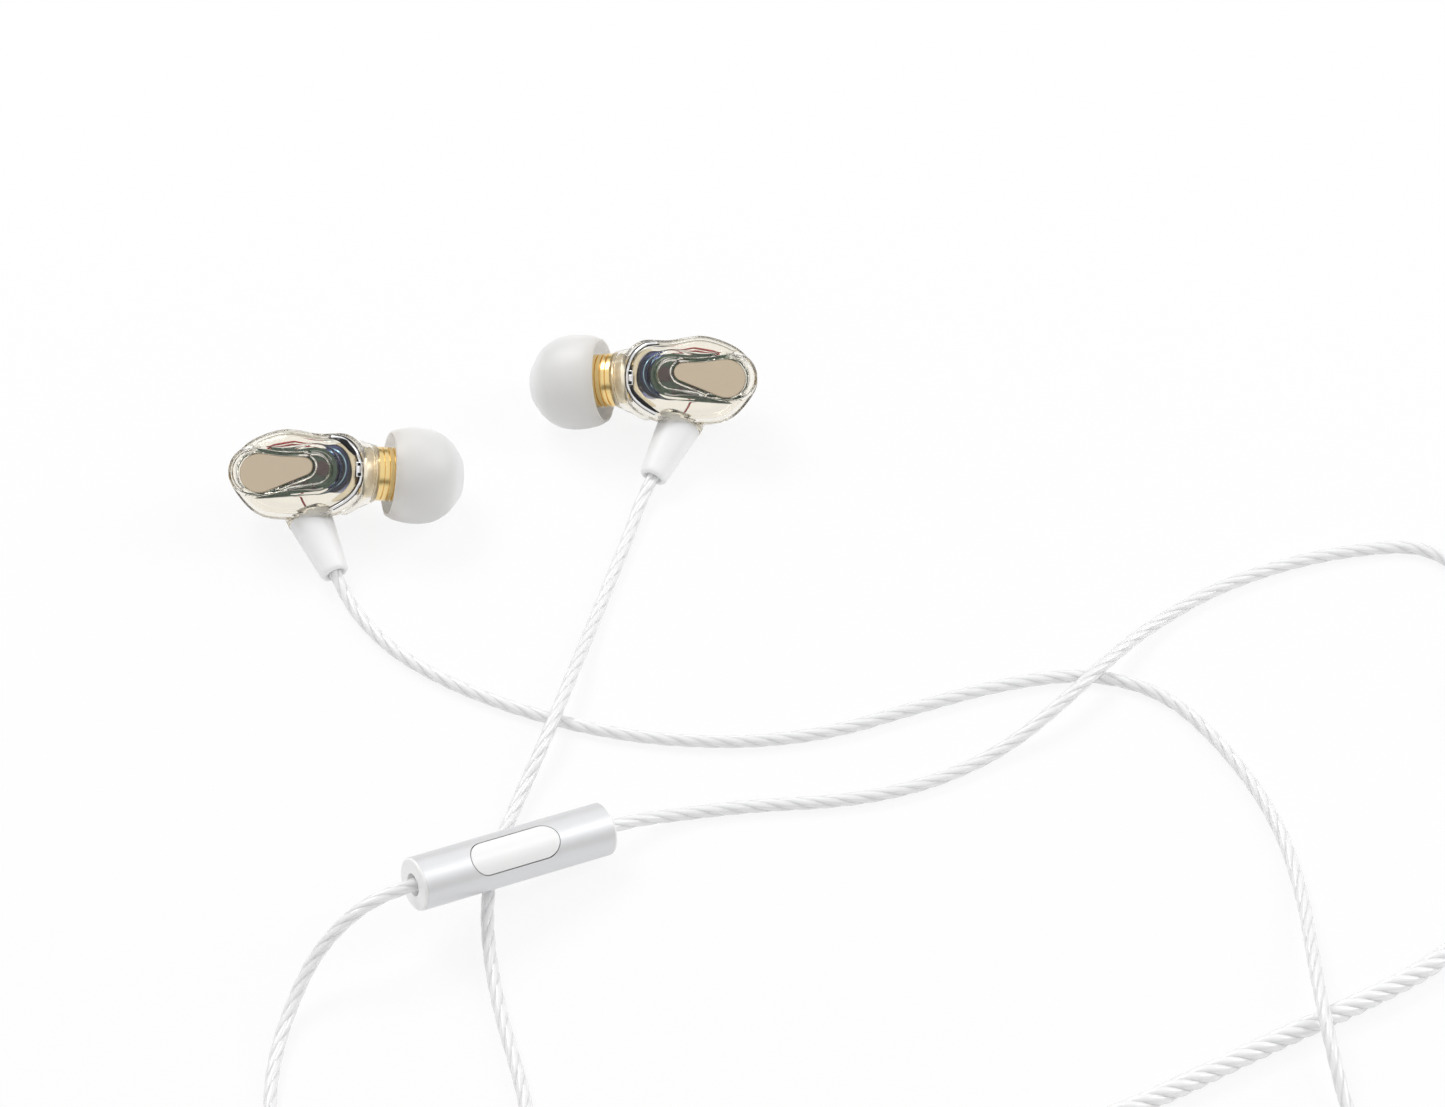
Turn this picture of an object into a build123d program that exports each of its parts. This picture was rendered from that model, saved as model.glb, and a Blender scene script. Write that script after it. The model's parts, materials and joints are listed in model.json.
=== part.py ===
"""A pair of wired in-ear monitors with an inline remote, a splitter and a 3.5 mm plug.

Frame: X runs across the pair, Y away from the listener's side of the table, Z up.
The table is Z = 0 and the origin is the middle of the two earphones' footprint.
Each earphone is drawn once in its own frame: X towards the nozzle, Z out through
the faceplate. It is then leaned back onto its ear tip and strain relief.
All sizes are in millimetres.
"""
import os
from math import asin, cos, degrees, pi, radians, sin, tan

from build123d import *

os.makedirs("parts", exist_ok=True)

# ---------------------------------------------------------------- driving sizes
WALL = 0.75                      # clear shell
GAP = 0.05                       # slip clearance between pieces that part by hand
BODY_LOW, BODY_HIGH = -5.3, 1.9  # clear body, below and above the driver plane
COVER_TOP = 3.5                  # rear cover, over the faceplate's rim
PLATE_THICK = 0.5
NECK_R = 3.55                    # gold neck of the nozzle
SPIGOT_R = 2.75                  # what the ear tip is pushed on
TIP_R = 6.33                     # ear tip, a medium of about 12.7 mm
DRIVER_R = 3.3                   # 6.6 mm dynamic driver
RELIEF_LONG = 8.8
LEAD_R = 0.9                     # thin leads, 1.8 mm
TRUNK_R = 1.3                    # trunk, 2.6 mm
REMOTE_R = 3.35
PLUG_R = 1.75                    # 3.5 mm plug
LEAN = 40.0                      # the faceplate's tilt back from level, degrees

# places in an earphone's own frame
NECK_BASE = Vector(9.7, 0.26, -1.65)
NECK_TURN, NECK_DIP = 3.0, 15.0          # degrees down and inwards
RELIEF_TOP = Vector(1.17, -5.61, -1.2)
RELIEF_TURN, RELIEF_RISE = 26.6, 22.0    # degrees forwards and outwards
RING_AT = Vector(5.2, 0.65, -0.5)
DRIVER_AT = Vector(4.1, 0.95, -1.3)
DRIVER_TILT = 30.0

# places on the table: earphone centres
EAR_HIGH = 8.77
EAR_LEFT = Vector(-25.36, -6.39, EAR_HIGH)
EAR_RIGHT = Vector(25.36, 10.18, EAR_HIGH)

# ------------------------------------------------------------------ directions
neck_dir = Vector(
    cos(radians(NECK_TURN)) * cos(radians(NECK_DIP)),
    -sin(radians(NECK_TURN)) * cos(radians(NECK_DIP)),
    -sin(radians(NECK_DIP)),
)
relief_dir = Vector(
    sin(radians(RELIEF_TURN)) * cos(radians(RELIEF_RISE)),
    -cos(radians(RELIEF_TURN)) * cos(radians(RELIEF_RISE)),
    sin(radians(RELIEF_RISE)),
)
driver_back = Vector(-sin(radians(DRIVER_TILT)), 0, cos(radians(DRIVER_TILT)))

neck_plane = Plane(origin=NECK_BASE, x_dir=neck_dir, z_dir=Vector(0, 0, 1).cross(neck_dir))
neck_face = Plane(origin=NECK_BASE, x_dir=(0, 1, 0), z_dir=neck_dir)
relief_plane = Plane(
    origin=RELIEF_TOP, x_dir=relief_dir, z_dir=Vector(0, 0, 1).cross(relief_dir)
)
driver_plane = Plane(origin=DRIVER_AT, x_dir=(0, 1, 0), z_dir=driver_back)
ring_plane = Plane(origin=RING_AT, x_dir=(0, 1, 0), z_dir=driver_back)
neck_axis = Axis(NECK_BASE, neck_dir)
relief_axis = Axis(RELIEF_TOP, relief_dir)

lean_plane = {
    side: Plane(
        origin=at,
        x_dir=(1, 0, 0),
        z_dir=(0, -sin(radians(LEAN)), cos(radians(LEAN))),
    )
    for side, at in (("left", EAR_LEFT), ("right", EAR_RIGHT))
}


def placed(part, side):
    """The piece where it lies on the table; the right earphone is a mirror image."""
    own = part if side == "left" else mirror(part, about=Plane.YZ)
    return own.moved(Location(lean_plane[side]))


def hand_in(part, name):
    """Names a finished piece and writes it."""
    part.label = name
    export_step(part, f"parts/{name}.step")


# --------------------------------------------------------------- clear housing
BODY_OUTLINE = [
    (-9.1, 0.2), (-7.0, 3.95), (-2.2, 5.95), (2.6, 5.4), (6.2, 5.35), (8.4, 3.5),
    (8.8, 0.0), (7.9, -3.3), (4.4, -5.4), (-0.8, -5.85), (-5.0, -5.35), (-7.8, -2.9),
]


def body_outline(inset=0.0):
    """The body seen along its own Z: a smooth closed curve, moved in by the inset."""
    curve = Spline(*BODY_OUTLINE, periodic=True, mode=Mode.PRIVATE)
    corners = []
    for point in BODY_OUTLINE:
        ahead = curve.tangent_at(curve.param_at_point(point))
        corners.append(Vector(*point) + Vector(ahead.Y, -ahead.X) * inset)
    Spline(*corners, periodic=True)


CONE_START = Vector(5.6, 0, -1.8)


def body_block(inset):
    """The body's outer form, or its hollow when inset by the wall."""
    with BuildPart() as block:
        with BuildSketch(Plane.XY.offset(BODY_LOW + inset)):
            with BuildLine():
                body_outline(inset)
            make_face()
        extrude(amount=BODY_HIGH - BODY_LOW - inset)
        fillet(block.faces().sort_by(Axis.Z)[0].edges(), radius=2.2 - inset)
        with BuildSketch(Plane(origin=CONE_START, x_dir=(0, 1, 0), z_dir=(1, 0, 0))):
            Ellipse(5.35 - inset, 3.5 - inset)
        with BuildSketch(neck_face):
            Circle(3.65 - inset)
        loft()
    return block.part



def teardrop(big, big_r, small, small_r, sag, grow=0.0):
    """A closed outline round two circles: straight below, slightly waisted above."""
    big_r, small_r = big_r + grow, small_r + grow
    across = Vector(*small) - Vector(*big)
    slope = across.get_signed_angle(Vector(1, 0, 0), Vector(0, 0, -1))
    spread = degrees(asin((big_r - small_r) / across.length))
    up, down = radians(slope + 90 - spread), radians(slope - 90 + spread)

    def rim(centre, r, angle):
        return Vector(centre[0] + r * cos(angle), centre[1] + r * sin(angle))

    top = [rim(big, big_r, up), rim(small, small_r, up)]
    waist = (top[0] + top[1]) / 2 - Vector(cos(up), sin(up)) * sag
    along = Vector(sin(up), -cos(up))
    Spline(top[0], waist, top[1], tangents=(along, along))
    ThreePointArc(top[1], rim(small, small_r, radians(slope)), rim(small, small_r, down))
    Line(rim(small, small_r, down), rim(big, big_r, down))
    ThreePointArc(rim(big, big_r, down), rim(big, big_r, radians(slope + 180)), top[0])


PLATE = ((-4.97, 0.2), 2.55, (0.8, 1.08), 1.19)
RIM_TOP = ((-5.63, 0.38), 3.05, (2.3, 0.75), 2.3)    # round the plate and a window
RIM_FOOT = ((-5.63, 0.38), 3.45, (2.3, 0.75), 3.3)


RING_THICK, GASKET_THICK = 0.5, 0.2
GASKET_TOP = RING_THICK / 2 + GASKET_THICK
body_outer = body_block(0)
body_inner = body_block(WALL)

with BuildPart() as hollow_body:
    add(body_outer)
    add(body_inner, mode=Mode.SUBTRACT)
    with BuildSketch(neck_face.offset(-2)):              # nozzle's seat
        Circle(2.85)
    extrude(amount=4, mode=Mode.SUBTRACT)
    with BuildSketch(Plane(origin=RELIEF_TOP, z_dir=relief_dir).offset(-2.2)):
        Circle(3.2)                                      # collar's seat
    extrude(amount=6, mode=Mode.SUBTRACT)

with BuildPart() as front_shell:
    add(hollow_body.part)
    split(bisect_by=ring_plane.offset(-RING_THICK / 2), keep=Keep.BOTTOM)

with BuildPart() as trim_ring:
    add(hollow_body.part)
    split(bisect_by=ring_plane.offset(-RING_THICK / 2), keep=Keep.TOP)
    split(bisect_by=ring_plane.offset(RING_THICK / 2), keep=Keep.BOTTOM)

with BuildPart() as gasket:
    add(hollow_body.part)
    split(bisect_by=ring_plane.offset(RING_THICK / 2), keep=Keep.TOP)
    split(bisect_by=ring_plane.offset(GASKET_TOP), keep=Keep.BOTTOM)

with BuildPart() as rear_shell:
    add(hollow_body.part)
    split(bisect_by=ring_plane.offset(GASKET_TOP), keep=Keep.TOP)

LEDGE_TOP = 2.6
with BuildPart() as rear_cover:
    with BuildSketch(Plane.XY.offset(BODY_HIGH)):
        with BuildLine():
            body_outline()
        make_face()
    extrude(amount=LEDGE_TOP - BODY_HIGH)
    fillet(rear_cover.faces().sort_by(Axis.Z)[-1].edges(), radius=0.6)
    with BuildSketch(Plane.XY.offset(LEDGE_TOP)):
        with BuildLine():
            teardrop(*RIM_FOOT, sag=0.5)
        make_face()
    with BuildSketch(Plane.XY.offset(COVER_TOP)):
        with BuildLine():
            teardrop(*RIM_TOP, sag=0.3)
        make_face()
    loft(ruled=True)
    with BuildSketch(Plane.XY.offset(COVER_TOP - PLATE_THICK)):      # plate's pocket
        with BuildLine():
            teardrop(*PLATE, sag=0.12, grow=0.04)
        make_face()
    extrude(amount=PLATE_THICK, mode=Mode.SUBTRACT)
    with BuildSketch(Plane.XY.offset(BODY_HIGH)):                    # hollow underneath
        with BuildLine():
            teardrop(*RIM_FOOT, sag=0.5, grow=-WALL)
        make_face()
    extrude(amount=COVER_TOP - PLATE_THICK - 0.3 - BODY_HIGH, mode=Mode.SUBTRACT)

with BuildPart() as faceplate:
    with BuildSketch(Plane.XY.offset(COVER_TOP - PLATE_THICK)):
        with BuildLine():
            teardrop(*PLATE, sag=0.12)
        make_face()
    extrude(amount=PLATE_THICK - 0.05)
    chamfer(faceplate.faces().sort_by(Axis.Z)[-1].edges(), length=0.1)

# ----------------------------------------------------- nozzle, screen and ear tip
NECK_LONG, SPIGOT_END = 3.3, 9.3
BORE_R, SCREEN_R = 2.0, 2.3

with BuildPart() as nozzle:
    with BuildSketch(neck_plane):
        with BuildLine():
            ribs = []
            for k in range(3):
                start = 0.45 + 0.7 * k
                ribs += [
                    (start, NECK_R), (start + 0.05, NECK_R - 0.25),
                    (start + 0.2, NECK_R - 0.25), (start + 0.25, NECK_R),
                ]
            Polyline(
                (-1.6, BORE_R), (-1.6, 2.83), (0, 2.83), (0, NECK_R), *ribs,
                (NECK_LONG - 0.1, NECK_R), (NECK_LONG, NECK_R - 0.1),
                (NECK_LONG, SPIGOT_R), (SPIGOT_END - 0.3, SPIGOT_R),
                (SPIGOT_END, SPIGOT_R - 0.2), (SPIGOT_END, SCREEN_R),
                (SPIGOT_END - 0.3, SCREEN_R), (SPIGOT_END - 0.3, BORE_R),
                close=True,
            )
        make_face()
    revolve(axis=neck_axis)

with BuildPart() as nozzle_screen:
    with BuildSketch(neck_face.offset(SPIGOT_END - 0.3)):
        Circle(SCREEN_R - 0.03)
        with PolarLocations(1.55, 12):
            Circle(0.22, mode=Mode.SUBTRACT)
        with PolarLocations(0.8, 6):
            Circle(0.22, mode=Mode.SUBTRACT)
        Circle(0.22, mode=Mode.SUBTRACT)
    extrude(amount=0.2)

with BuildPart() as acoustic_foam:
    with BuildSketch(neck_face.offset(5.2)):
        Circle(BORE_R - 0.02)
    extrude(amount=2.2)

with BuildPart() as ear_tip:
    with BuildSketch(neck_plane):
        with BuildLine():
            Spline((1.8, 5.55), (3.2, 6.1), (5.7, TIP_R), (8.0, 5.9), (9.7, 4.8), (11.0, 3.1))
            ThreePointArc((11.0, 3.1), (11.4, 2.5), (11.2, 2.15))
            Polyline(
                (11.2, 2.15), (9.5, 2.15), (9.5, SPIGOT_R + GAP), (3.45, SPIGOT_R + GAP),
                (3.45, 3.45), (8.9, 3.45),
            )
            Spline((8.9, 3.45), (9.3, 4.3), (8.0, 5.25), (5.7, 5.75), (3.2, 5.6), (1.8, 5.2))
            Line((1.8, 5.2), (1.8, 5.55))
        make_face()
    revolve(axis=neck_axis)

# ------------------------------------------------------------- dynamic driver
with BuildPart() as driver_frame:
    with BuildSketch(driver_plane.offset(-1.2)):
        Circle(DRIVER_R)
        Circle(DRIVER_R - 0.3, mode=Mode.SUBTRACT)
    extrude(amount=1.25)
    with BuildSketch(driver_plane.offset(0.05)):
        Circle(DRIVER_R)
        Circle(2.25, mode=Mode.SUBTRACT)
    extrude(amount=0.3)
    chamfer(driver_frame.faces().sort_by(Axis(DRIVER_AT, driver_back))[-1].edges(), length=0.12)

with BuildPart() as diaphragm:
    with BuildSketch(Plane(origin=DRIVER_AT, x_dir=(0, 1, 0), z_dir=Vector(0, 1, 0).cross(driver_back))):
        with BuildLine():
            Polyline(
                (0, -1.15), (0.9, -1.08), (1.6, -0.9), (DRIVER_R - 0.38, -0.9),
                (DRIVER_R - 0.38, -0.82), (1.55, -0.82), (0.85, -1.0), (0, -1.07), close=True,
            )
        make_face()
    revolve(axis=Axis(DRIVER_AT, driver_back))

with BuildPart() as voice_coil:
    with BuildSketch(driver_plane.offset(-0.82)):
        Circle(1.72)
        Circle(1.58, mode=Mode.SUBTRACT)
    extrude(amount=0.7)

with BuildPart() as driver_magnet:
    with BuildSketch(driver_plane.offset(-0.35)):
        Circle(1.35)
    extrude(amount=0.9)

with BuildPart() as driver_yoke:
    with BuildSketch(driver_plane.offset(-0.4)):
        Circle(2.2)
    extrude(amount=1.25)
    with BuildSketch(driver_plane.offset(-0.4)):
        Circle(1.9)
    extrude(amount=0.95, mode=Mode.SUBTRACT)
    with BuildSketch(driver_plane.offset(0.55)):
        Circle(0.5)
    extrude(amount=0.3, mode=Mode.SUBTRACT)

# ------------------------------------------------------------ board and wires
BOARD_TOP = BODY_HIGH
with BuildPart() as crossover_board:
    with BuildSketch(Plane.XY.offset(BOARD_TOP - 0.25)):
        with BuildLine():
            teardrop((-4.6, 0.2), 3.1, (2.2, 0.7), 2.9, sag=0.1)
        make_face()
        with Locations((-5.8, 0.2)):
            Circle(0.5, mode=Mode.SUBTRACT)
    extrude(amount=0.25)

with BuildPart() as board_parts:
    with BuildSketch(Plane.XY.offset(BOARD_TOP)):
        with Locations((3.1, 0.8)):
            Circle(1.0)
        with Locations((0.9, -1.1)):
            Rectangle(0.9, 0.5)
        with Locations((2.0, -1.5)):
            Rectangle(0.5, 0.5)
        with Locations((-0.6, -1.2)):
            Rectangle(1.2, 0.7)
        with Locations((1.1, 2.6)):
            Rectangle(0.8, 0.4)
    extrude(amount=0.6)

WIRE_R = 0.14
WIRES = [
    [(-4.8, 2.75, 1.5), (-3.4, 3.9, 1.1), (-0.6, 4.4, 0.8), (1.9, 4.1, 0.0), (2.9, 3.65, -1.4)],
    [(-5.4, 2.2, 1.45), (-3.6, 3.5, 0.6), (-1.0, 4.0, 0.2), (1.0, 3.9, -0.9), (2.4, 3.1, -1.65)],
    [(0.7, -4.3, -1.75), (-0.2, -2.8, -2.6), (-1.2, -1.7, -1.2), (-1.4, -1.4, 1.5)],
]
with BuildPart() as signal_wires:
    for corners in WIRES:
        with BuildLine() as route:
            FilletPolyline(*corners, radius=0.5)
        with BuildSketch(Plane(origin=route.line @ 0, z_dir=route.line % 0)):
            Circle(WIRE_R)
        sweep(path=route.line)

# ----------------------------------------------------- collar and strain relief
COLLAR_IN, RELIEF_START = 1.4, 0.2
LEAD_SEAT = RELIEF_LONG - 0.6                # where a lead's end face lies

with BuildPart() as cable_collar:
    with BuildSketch(Plane(origin=RELIEF_TOP, z_dir=relief_dir).offset(-COLLAR_IN)):
        Circle(3.15)
        Circle(1.35, mode=Mode.SUBTRACT)
    extrude(amount=COLLAR_IN + RELIEF_START)

with BuildPart() as strain_relief:
    with BuildSketch(relief_plane):
        with BuildLine():
            Polyline(
                (-1.0, 0.5), (-1.0, 1.3), (RELIEF_START, 1.3), (RELIEF_START, 2.8),
                (0.5, 2.87), (RELIEF_LONG - 0.4, 1.9),
            )
            ThreePointArc(
                (RELIEF_LONG - 0.4, 1.9), (RELIEF_LONG - 0.1, 1.78), (RELIEF_LONG, 1.5)
            )
            Polyline(
                (RELIEF_LONG, 1.5), (RELIEF_LONG, 1.15), (LEAD_SEAT, 1.15),
                (LEAD_SEAT, 0.5), (-1.0, 0.5),
            )
        make_face()
    revolve(axis=relief_axis)

EAR_PIECES = {
    "front_shell": front_shell, "rear_shell": rear_shell, "rear_cover": rear_cover,
    "trim_ring": trim_ring, "gasket": gasket, "faceplate": faceplate,
    "nozzle": nozzle, "nozzle_screen": nozzle_screen, "acoustic_foam": acoustic_foam,
    "ear_tip": ear_tip, "driver_frame": driver_frame, "driver_magnet": driver_magnet,
    "driver_yoke": driver_yoke, "diaphragm": diaphragm, "voice_coil": voice_coil,
    "crossover_board": crossover_board, "board_parts": board_parts,
    "signal_wires": signal_wires, "cable_collar": cable_collar,
    "strain_relief": strain_relief,
}
for side in ("left", "right"):
    for name, piece in EAR_PIECES.items():
        hand_in(placed(piece.part, side), f"{side}_{name}")

# ------------------------------------------------------------- inline remote
# It lies across the right lead: its right end on the table, its left end raised.
REMOTE_AT = Vector(3.81, -65.93, 6.18)
REMOTE_TURN, REMOTE_DIP, BUTTON_ROLL = 29.2, 12.5, 24.9   # degrees
CAP_PROUD = 0.35
SLEEVE_LONG = 26.1
SLEEVE_WALL = 0.5
HOLE_R, HOLE_DEEP = 1.45, 1.2            # where a lead enters a cap
PILL_LONG, PILL_WIDE = 12.25, 4.3
PILL_AT = -0.45
BUTTON_GAP = 0.12

remote_dir = Vector(
    cos(radians(REMOTE_TURN)) * cos(radians(REMOTE_DIP)),
    sin(radians(REMOTE_TURN)) * cos(radians(REMOTE_DIP)),
    -sin(radians(REMOTE_DIP)),
)
level = Vector(-sin(radians(REMOTE_TURN)), cos(radians(REMOTE_TURN)), 0)
upward = remote_dir.cross(level)
remote_plane = Plane(
    origin=REMOTE_AT, x_dir=remote_dir,
    z_dir=upward * cos(radians(BUTTON_ROLL)) - level * sin(radians(BUTTON_ROLL)),
)
remote_section = Plane(origin=REMOTE_AT, x_dir=remote_plane.y_dir, z_dir=remote_dir)

with BuildPart() as remote_sleeve:
    with BuildSketch(remote_section.offset(-SLEEVE_LONG / 2)):
        Circle(REMOTE_R)
        Circle(REMOTE_R - SLEEVE_WALL, mode=Mode.SUBTRACT)
    extrude(amount=SLEEVE_LONG)
    with BuildSketch(remote_plane):
        with Locations((PILL_AT, 0)):
            SlotOverall(PILL_LONG, PILL_WIDE)
    extrude(amount=REMOTE_R + 1, mode=Mode.SUBTRACT)

with BuildPart() as remote_button:
    with BuildSketch(remote_section.offset(-PILL_LONG)):
        Circle(REMOTE_R + 0.03)
    extrude(amount=2 * PILL_LONG)
    with BuildSketch(remote_plane.offset(1.35)):
        with Locations((PILL_AT, 0)):
            SlotOverall(PILL_LONG - 2 * BUTTON_GAP, PILL_WIDE - 2 * BUTTON_GAP)
    extrude(amount=REMOTE_R, mode=Mode.INTERSECT)
    with BuildSketch(remote_plane.offset(2.1)):          # lugs that keep it in the sleeve
        with Locations((PILL_AT, 0)):
            Rectangle(PILL_LONG + 1.0, 2.4)
    extrude(amount=0.4)

BOARD_LEVEL = -0.5
with BuildPart() as remote_board:
    with BuildSketch(remote_plane.offset(BOARD_LEVEL)):
        Rectangle(17.0, 4.2)
    extrude(amount=0.6)

with BuildPart() as remote_switch:
    with BuildSketch(remote_plane.offset(BOARD_LEVEL + 0.6)):
        with Locations((PILL_AT, 0)):
            Rectangle(3.2, 2.6)
    extrude(amount=0.4)
    with BuildSketch(remote_plane.offset(BOARD_LEVEL + 1.0)):
        with Locations((PILL_AT, 0)):
            Circle(0.8)
    extrude(amount=0.45)

with BuildPart() as remote_microphone:
    with BuildSketch(remote_plane.offset(BOARD_LEVEL - 1.2)):
        with Locations((-5.5, 0)):
            Circle(1.6)
    extrude(amount=1.2)


def remote_cap(outward):
    """An end cap: a proud rim, a plug in the sleeve, and the lead's hole."""
    end = Plane(
        origin=REMOTE_AT + remote_dir * (outward * SLEEVE_LONG / 2),
        x_dir=remote_plane.y_dir,
        z_dir=remote_dir * outward,
    )
    with BuildPart() as cap:
        with BuildSketch(end):
            Circle(REMOTE_R - 0.04)
        extrude(amount=CAP_PROUD)
        fillet(cap.faces().sort_by(Axis(end.origin, end.z_dir))[-1].edges(), radius=0.25)
        with BuildSketch(end):
            Circle(REMOTE_R - SLEEVE_WALL - 0.03)
        extrude(amount=-3.0)
        with BuildSketch(end.offset(CAP_PROUD)):
            Circle(HOLE_R)
        extrude(amount=-HOLE_DEEP, mode=Mode.SUBTRACT)
    return cap.part


CAP_SEAT = SLEEVE_LONG / 2 + CAP_PROUD - HOLE_DEEP       # where a lead's end face lies

for name, piece in {
    "remote_sleeve": remote_sleeve, "remote_button": remote_button,
    "remote_board": remote_board, "remote_switch": remote_switch,
    "remote_microphone": remote_microphone,
}.items():
    hand_in(piece.part, name)
hand_in(remote_cap(-1), "remote_left_cap")
hand_in(remote_cap(1), "remote_right_cap")

# ------------------------------------------------------ splitter and 3.5 mm plug
SPLITTER_AT = Vector(128.5, -39.0, 1.75)
SPLITTER_LONG, SPLITTER_WIDE, SPLITTER_HIGH = 12.0, 6.4, 3.5
PORT_APART = 2.1

with BuildPart() as splitter:
    with BuildSketch(Plane(
        origin=SPLITTER_AT + Vector(0, SPLITTER_LONG / 2, 0), x_dir=(1, 0, 0), z_dir=(0, -1, 0)
    )):
        SlotOverall(SPLITTER_WIDE, SPLITTER_HIGH)
    extrude(amount=SPLITTER_LONG)
    fillet(splitter.faces().sort_by(Axis.Y)[0].edges(), radius=0.5)
    fillet(splitter.faces().sort_by(Axis.Y)[-1].edges(), radius=0.5)
hand_in(splitter.part, "splitter")

PLUG_AT = Vector(90.0, -142.5, 3.25)                     # the back of its strain relief
plug_plane = Plane(origin=PLUG_AT, x_dir=(1, 0, 0), z_dir=(0, 0, 1))
plug_axis = Axis(PLUG_AT, (1, 0, 0))
PIN_BACK, PIN_LONG = 22.0, 14.0
PIN_END = PIN_BACK + PIN_LONG
CORE_R = 0.9


def plug_band(start, end, radius, bore=CORE_R):
    """A ring of the plug's pin, on the core rod."""
    with BuildPart() as band:
        with BuildSketch(Plane(origin=PLUG_AT, x_dir=(0, 1, 0), z_dir=(1, 0, 0)).offset(start)):
            Circle(radius)
            Circle(bore, mode=Mode.SUBTRACT)
        extrude(amount=end - start)
    return band.part


with BuildPart() as plug_relief:
    with BuildSketch(plug_plane):
        with BuildLine():
            Polyline((0, 0), (0, 1.75), (0.3, 1.95), (8.0, 2.5), (8.0, 0), close=True)
        make_face()
    revolve(axis=plug_axis)

with BuildPart() as plug_shell:
    with BuildSketch(plug_plane):
        with BuildLine():
            Polyline(
                (8.0, 0), (8.0, 2.9), (8.3, 3.2), (PIN_BACK - 1.5, 3.2), (PIN_BACK, 2.7),
                (PIN_BACK, CORE_R), (PIN_BACK - 6, CORE_R), (PIN_BACK - 6, 0), close=True,
            )
        make_face()
    revolve(axis=plug_axis)

with BuildPart() as plug_tip:
    with BuildSketch(plug_plane):
        with BuildLine():
            Polyline(
                (PIN_BACK - 6, 0), (PIN_BACK - 6, CORE_R), (PIN_END - 3.6, CORE_R),
                (PIN_END - 3.6, PLUG_R), (PIN_END - 3.2, PLUG_R), (PIN_END - 2.6, 1.2),
                (PIN_END - 2.0, 1.2), (PIN_END - 1.5, 1.55), (PIN_END - 0.4, 0.9),
                (PIN_END, 0.35), (PIN_END, 0), close=True,
            )
        make_face()
    revolve(axis=plug_axis)

CONTACTS = [(PIN_BACK, PIN_BACK + 4.0), (PIN_BACK + 4.7, PIN_BACK + 6.9),
            (PIN_BACK + 7.6, PIN_BACK + 9.7)]
with BuildPart() as plug_contacts:
    for start, end in CONTACTS:
        add(plug_band(start, end, PLUG_R, CORE_R + 0.02))

with BuildPart() as plug_insulators:
    for start, end in ((4.0, 4.7), (6.9, 7.6), (9.7, 10.4)):
        add(plug_band(PIN_BACK + start, PIN_BACK + end, PLUG_R - 0.03, CORE_R + 0.02))

for name, piece in {
    "plug_relief": plug_relief, "plug_shell": plug_shell, "plug_tip": plug_tip,
    "plug_contacts": plug_contacts, "plug_insulators": plug_insulators,
}.items():
    hand_in(piece.part, name)


# --------------------------------------------------------------------- cords
def on_table(side, along):
    """A point on an earphone's strain relief axis, where it lies on the table."""
    own = RELIEF_TOP + relief_dir * along
    if side == "right":
        own = Vector(-own.X, own.Y, own.Z)
    return lean_plane[side].from_local_coords(own)


def cord_tube(name, corners, radius):
    """A tube of straight runs and the largest arcs that they leave room for."""
    points = [Vector(*corner) for corner in corners]
    runs = [b - a for a, b in zip(points, points[1:])]
    radii = []
    for before, after in zip(runs, runs[1:]):
        half_turn = radians(before.get_angle(after)) / 2
        radii.append(0.45 * min(before.length, after.length) / tan(half_turn))
    with BuildPart() as tube:
        with BuildLine() as route:
            FilletPolyline(*points, radius=radii)
        path = route.wire()
        with BuildSketch(Plane(origin=path @ 0, z_dir=path % 0)):
            Circle(radius)
        sweep(path=path)
    expected = pi * radius**2 * path.length
    print(
        f"{name}: {path.length:.0f} mm, runs {min(r.length for r in runs):.1f} to "
        f"{max(r.length for r in runs):.1f}, tightest arc {min(radii):.1f} mm, volume "
        f"{tube.part.volume / expected:.4f} of section times length"
    )
    return tube.part


FLOOR = 0.95                              # a thin lead's middle, lying on the table
left_route = [
    on_table("left", LEAD_SEAT), on_table("left", LEAD_SEAT + 4.2), (-16.4, -25.0, FLOOR),
    (-12.2, -29.8, FLOOR), (-5.8, -34.4, FLOOR), (1.5, -38.1, FLOOR), (10.7, -41.6, FLOOR),
    (21.3, -43.9, FLOOR), (33.3, -44.4, FLOOR), (44.1, -42.7, FLOOR), (54.3, -38.8, FLOOR),
    (65.3, -35.0, FLOOR), (76.2, -33.1, FLOOR), (85.9, -36.0, FLOOR), (93.1, -44.6, FLOOR),
    (98.9, -56.1, FLOOR), (101.2, -67.7, FLOOR),
    (101.3, -82.0, 4.0), (102.2, -92.1, 4.0),            # over the trunk
    (104.0, -101.5, FLOOR), (109.5, -111.5, FLOOR), (120.5, -118.0, FLOOR),
    (132.5, -115.0, FLOOR), (140.0, -105.5, FLOOR), (143.0, -92.0, FLOOR),
    (142.6, -75.0, FLOOR), (143.8, -58.0, FLOOR), (143.2, -43.5, FLOOR),
    (143.9, -34.5, FLOOR), (143.4, -27.5, FLOOR), (139.4, -23.0, FLOOR),
    (133.6, -22.6, FLOOR), (129.55, -27.1, 1.75), (129.55, -33.0, 1.75),
]
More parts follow.
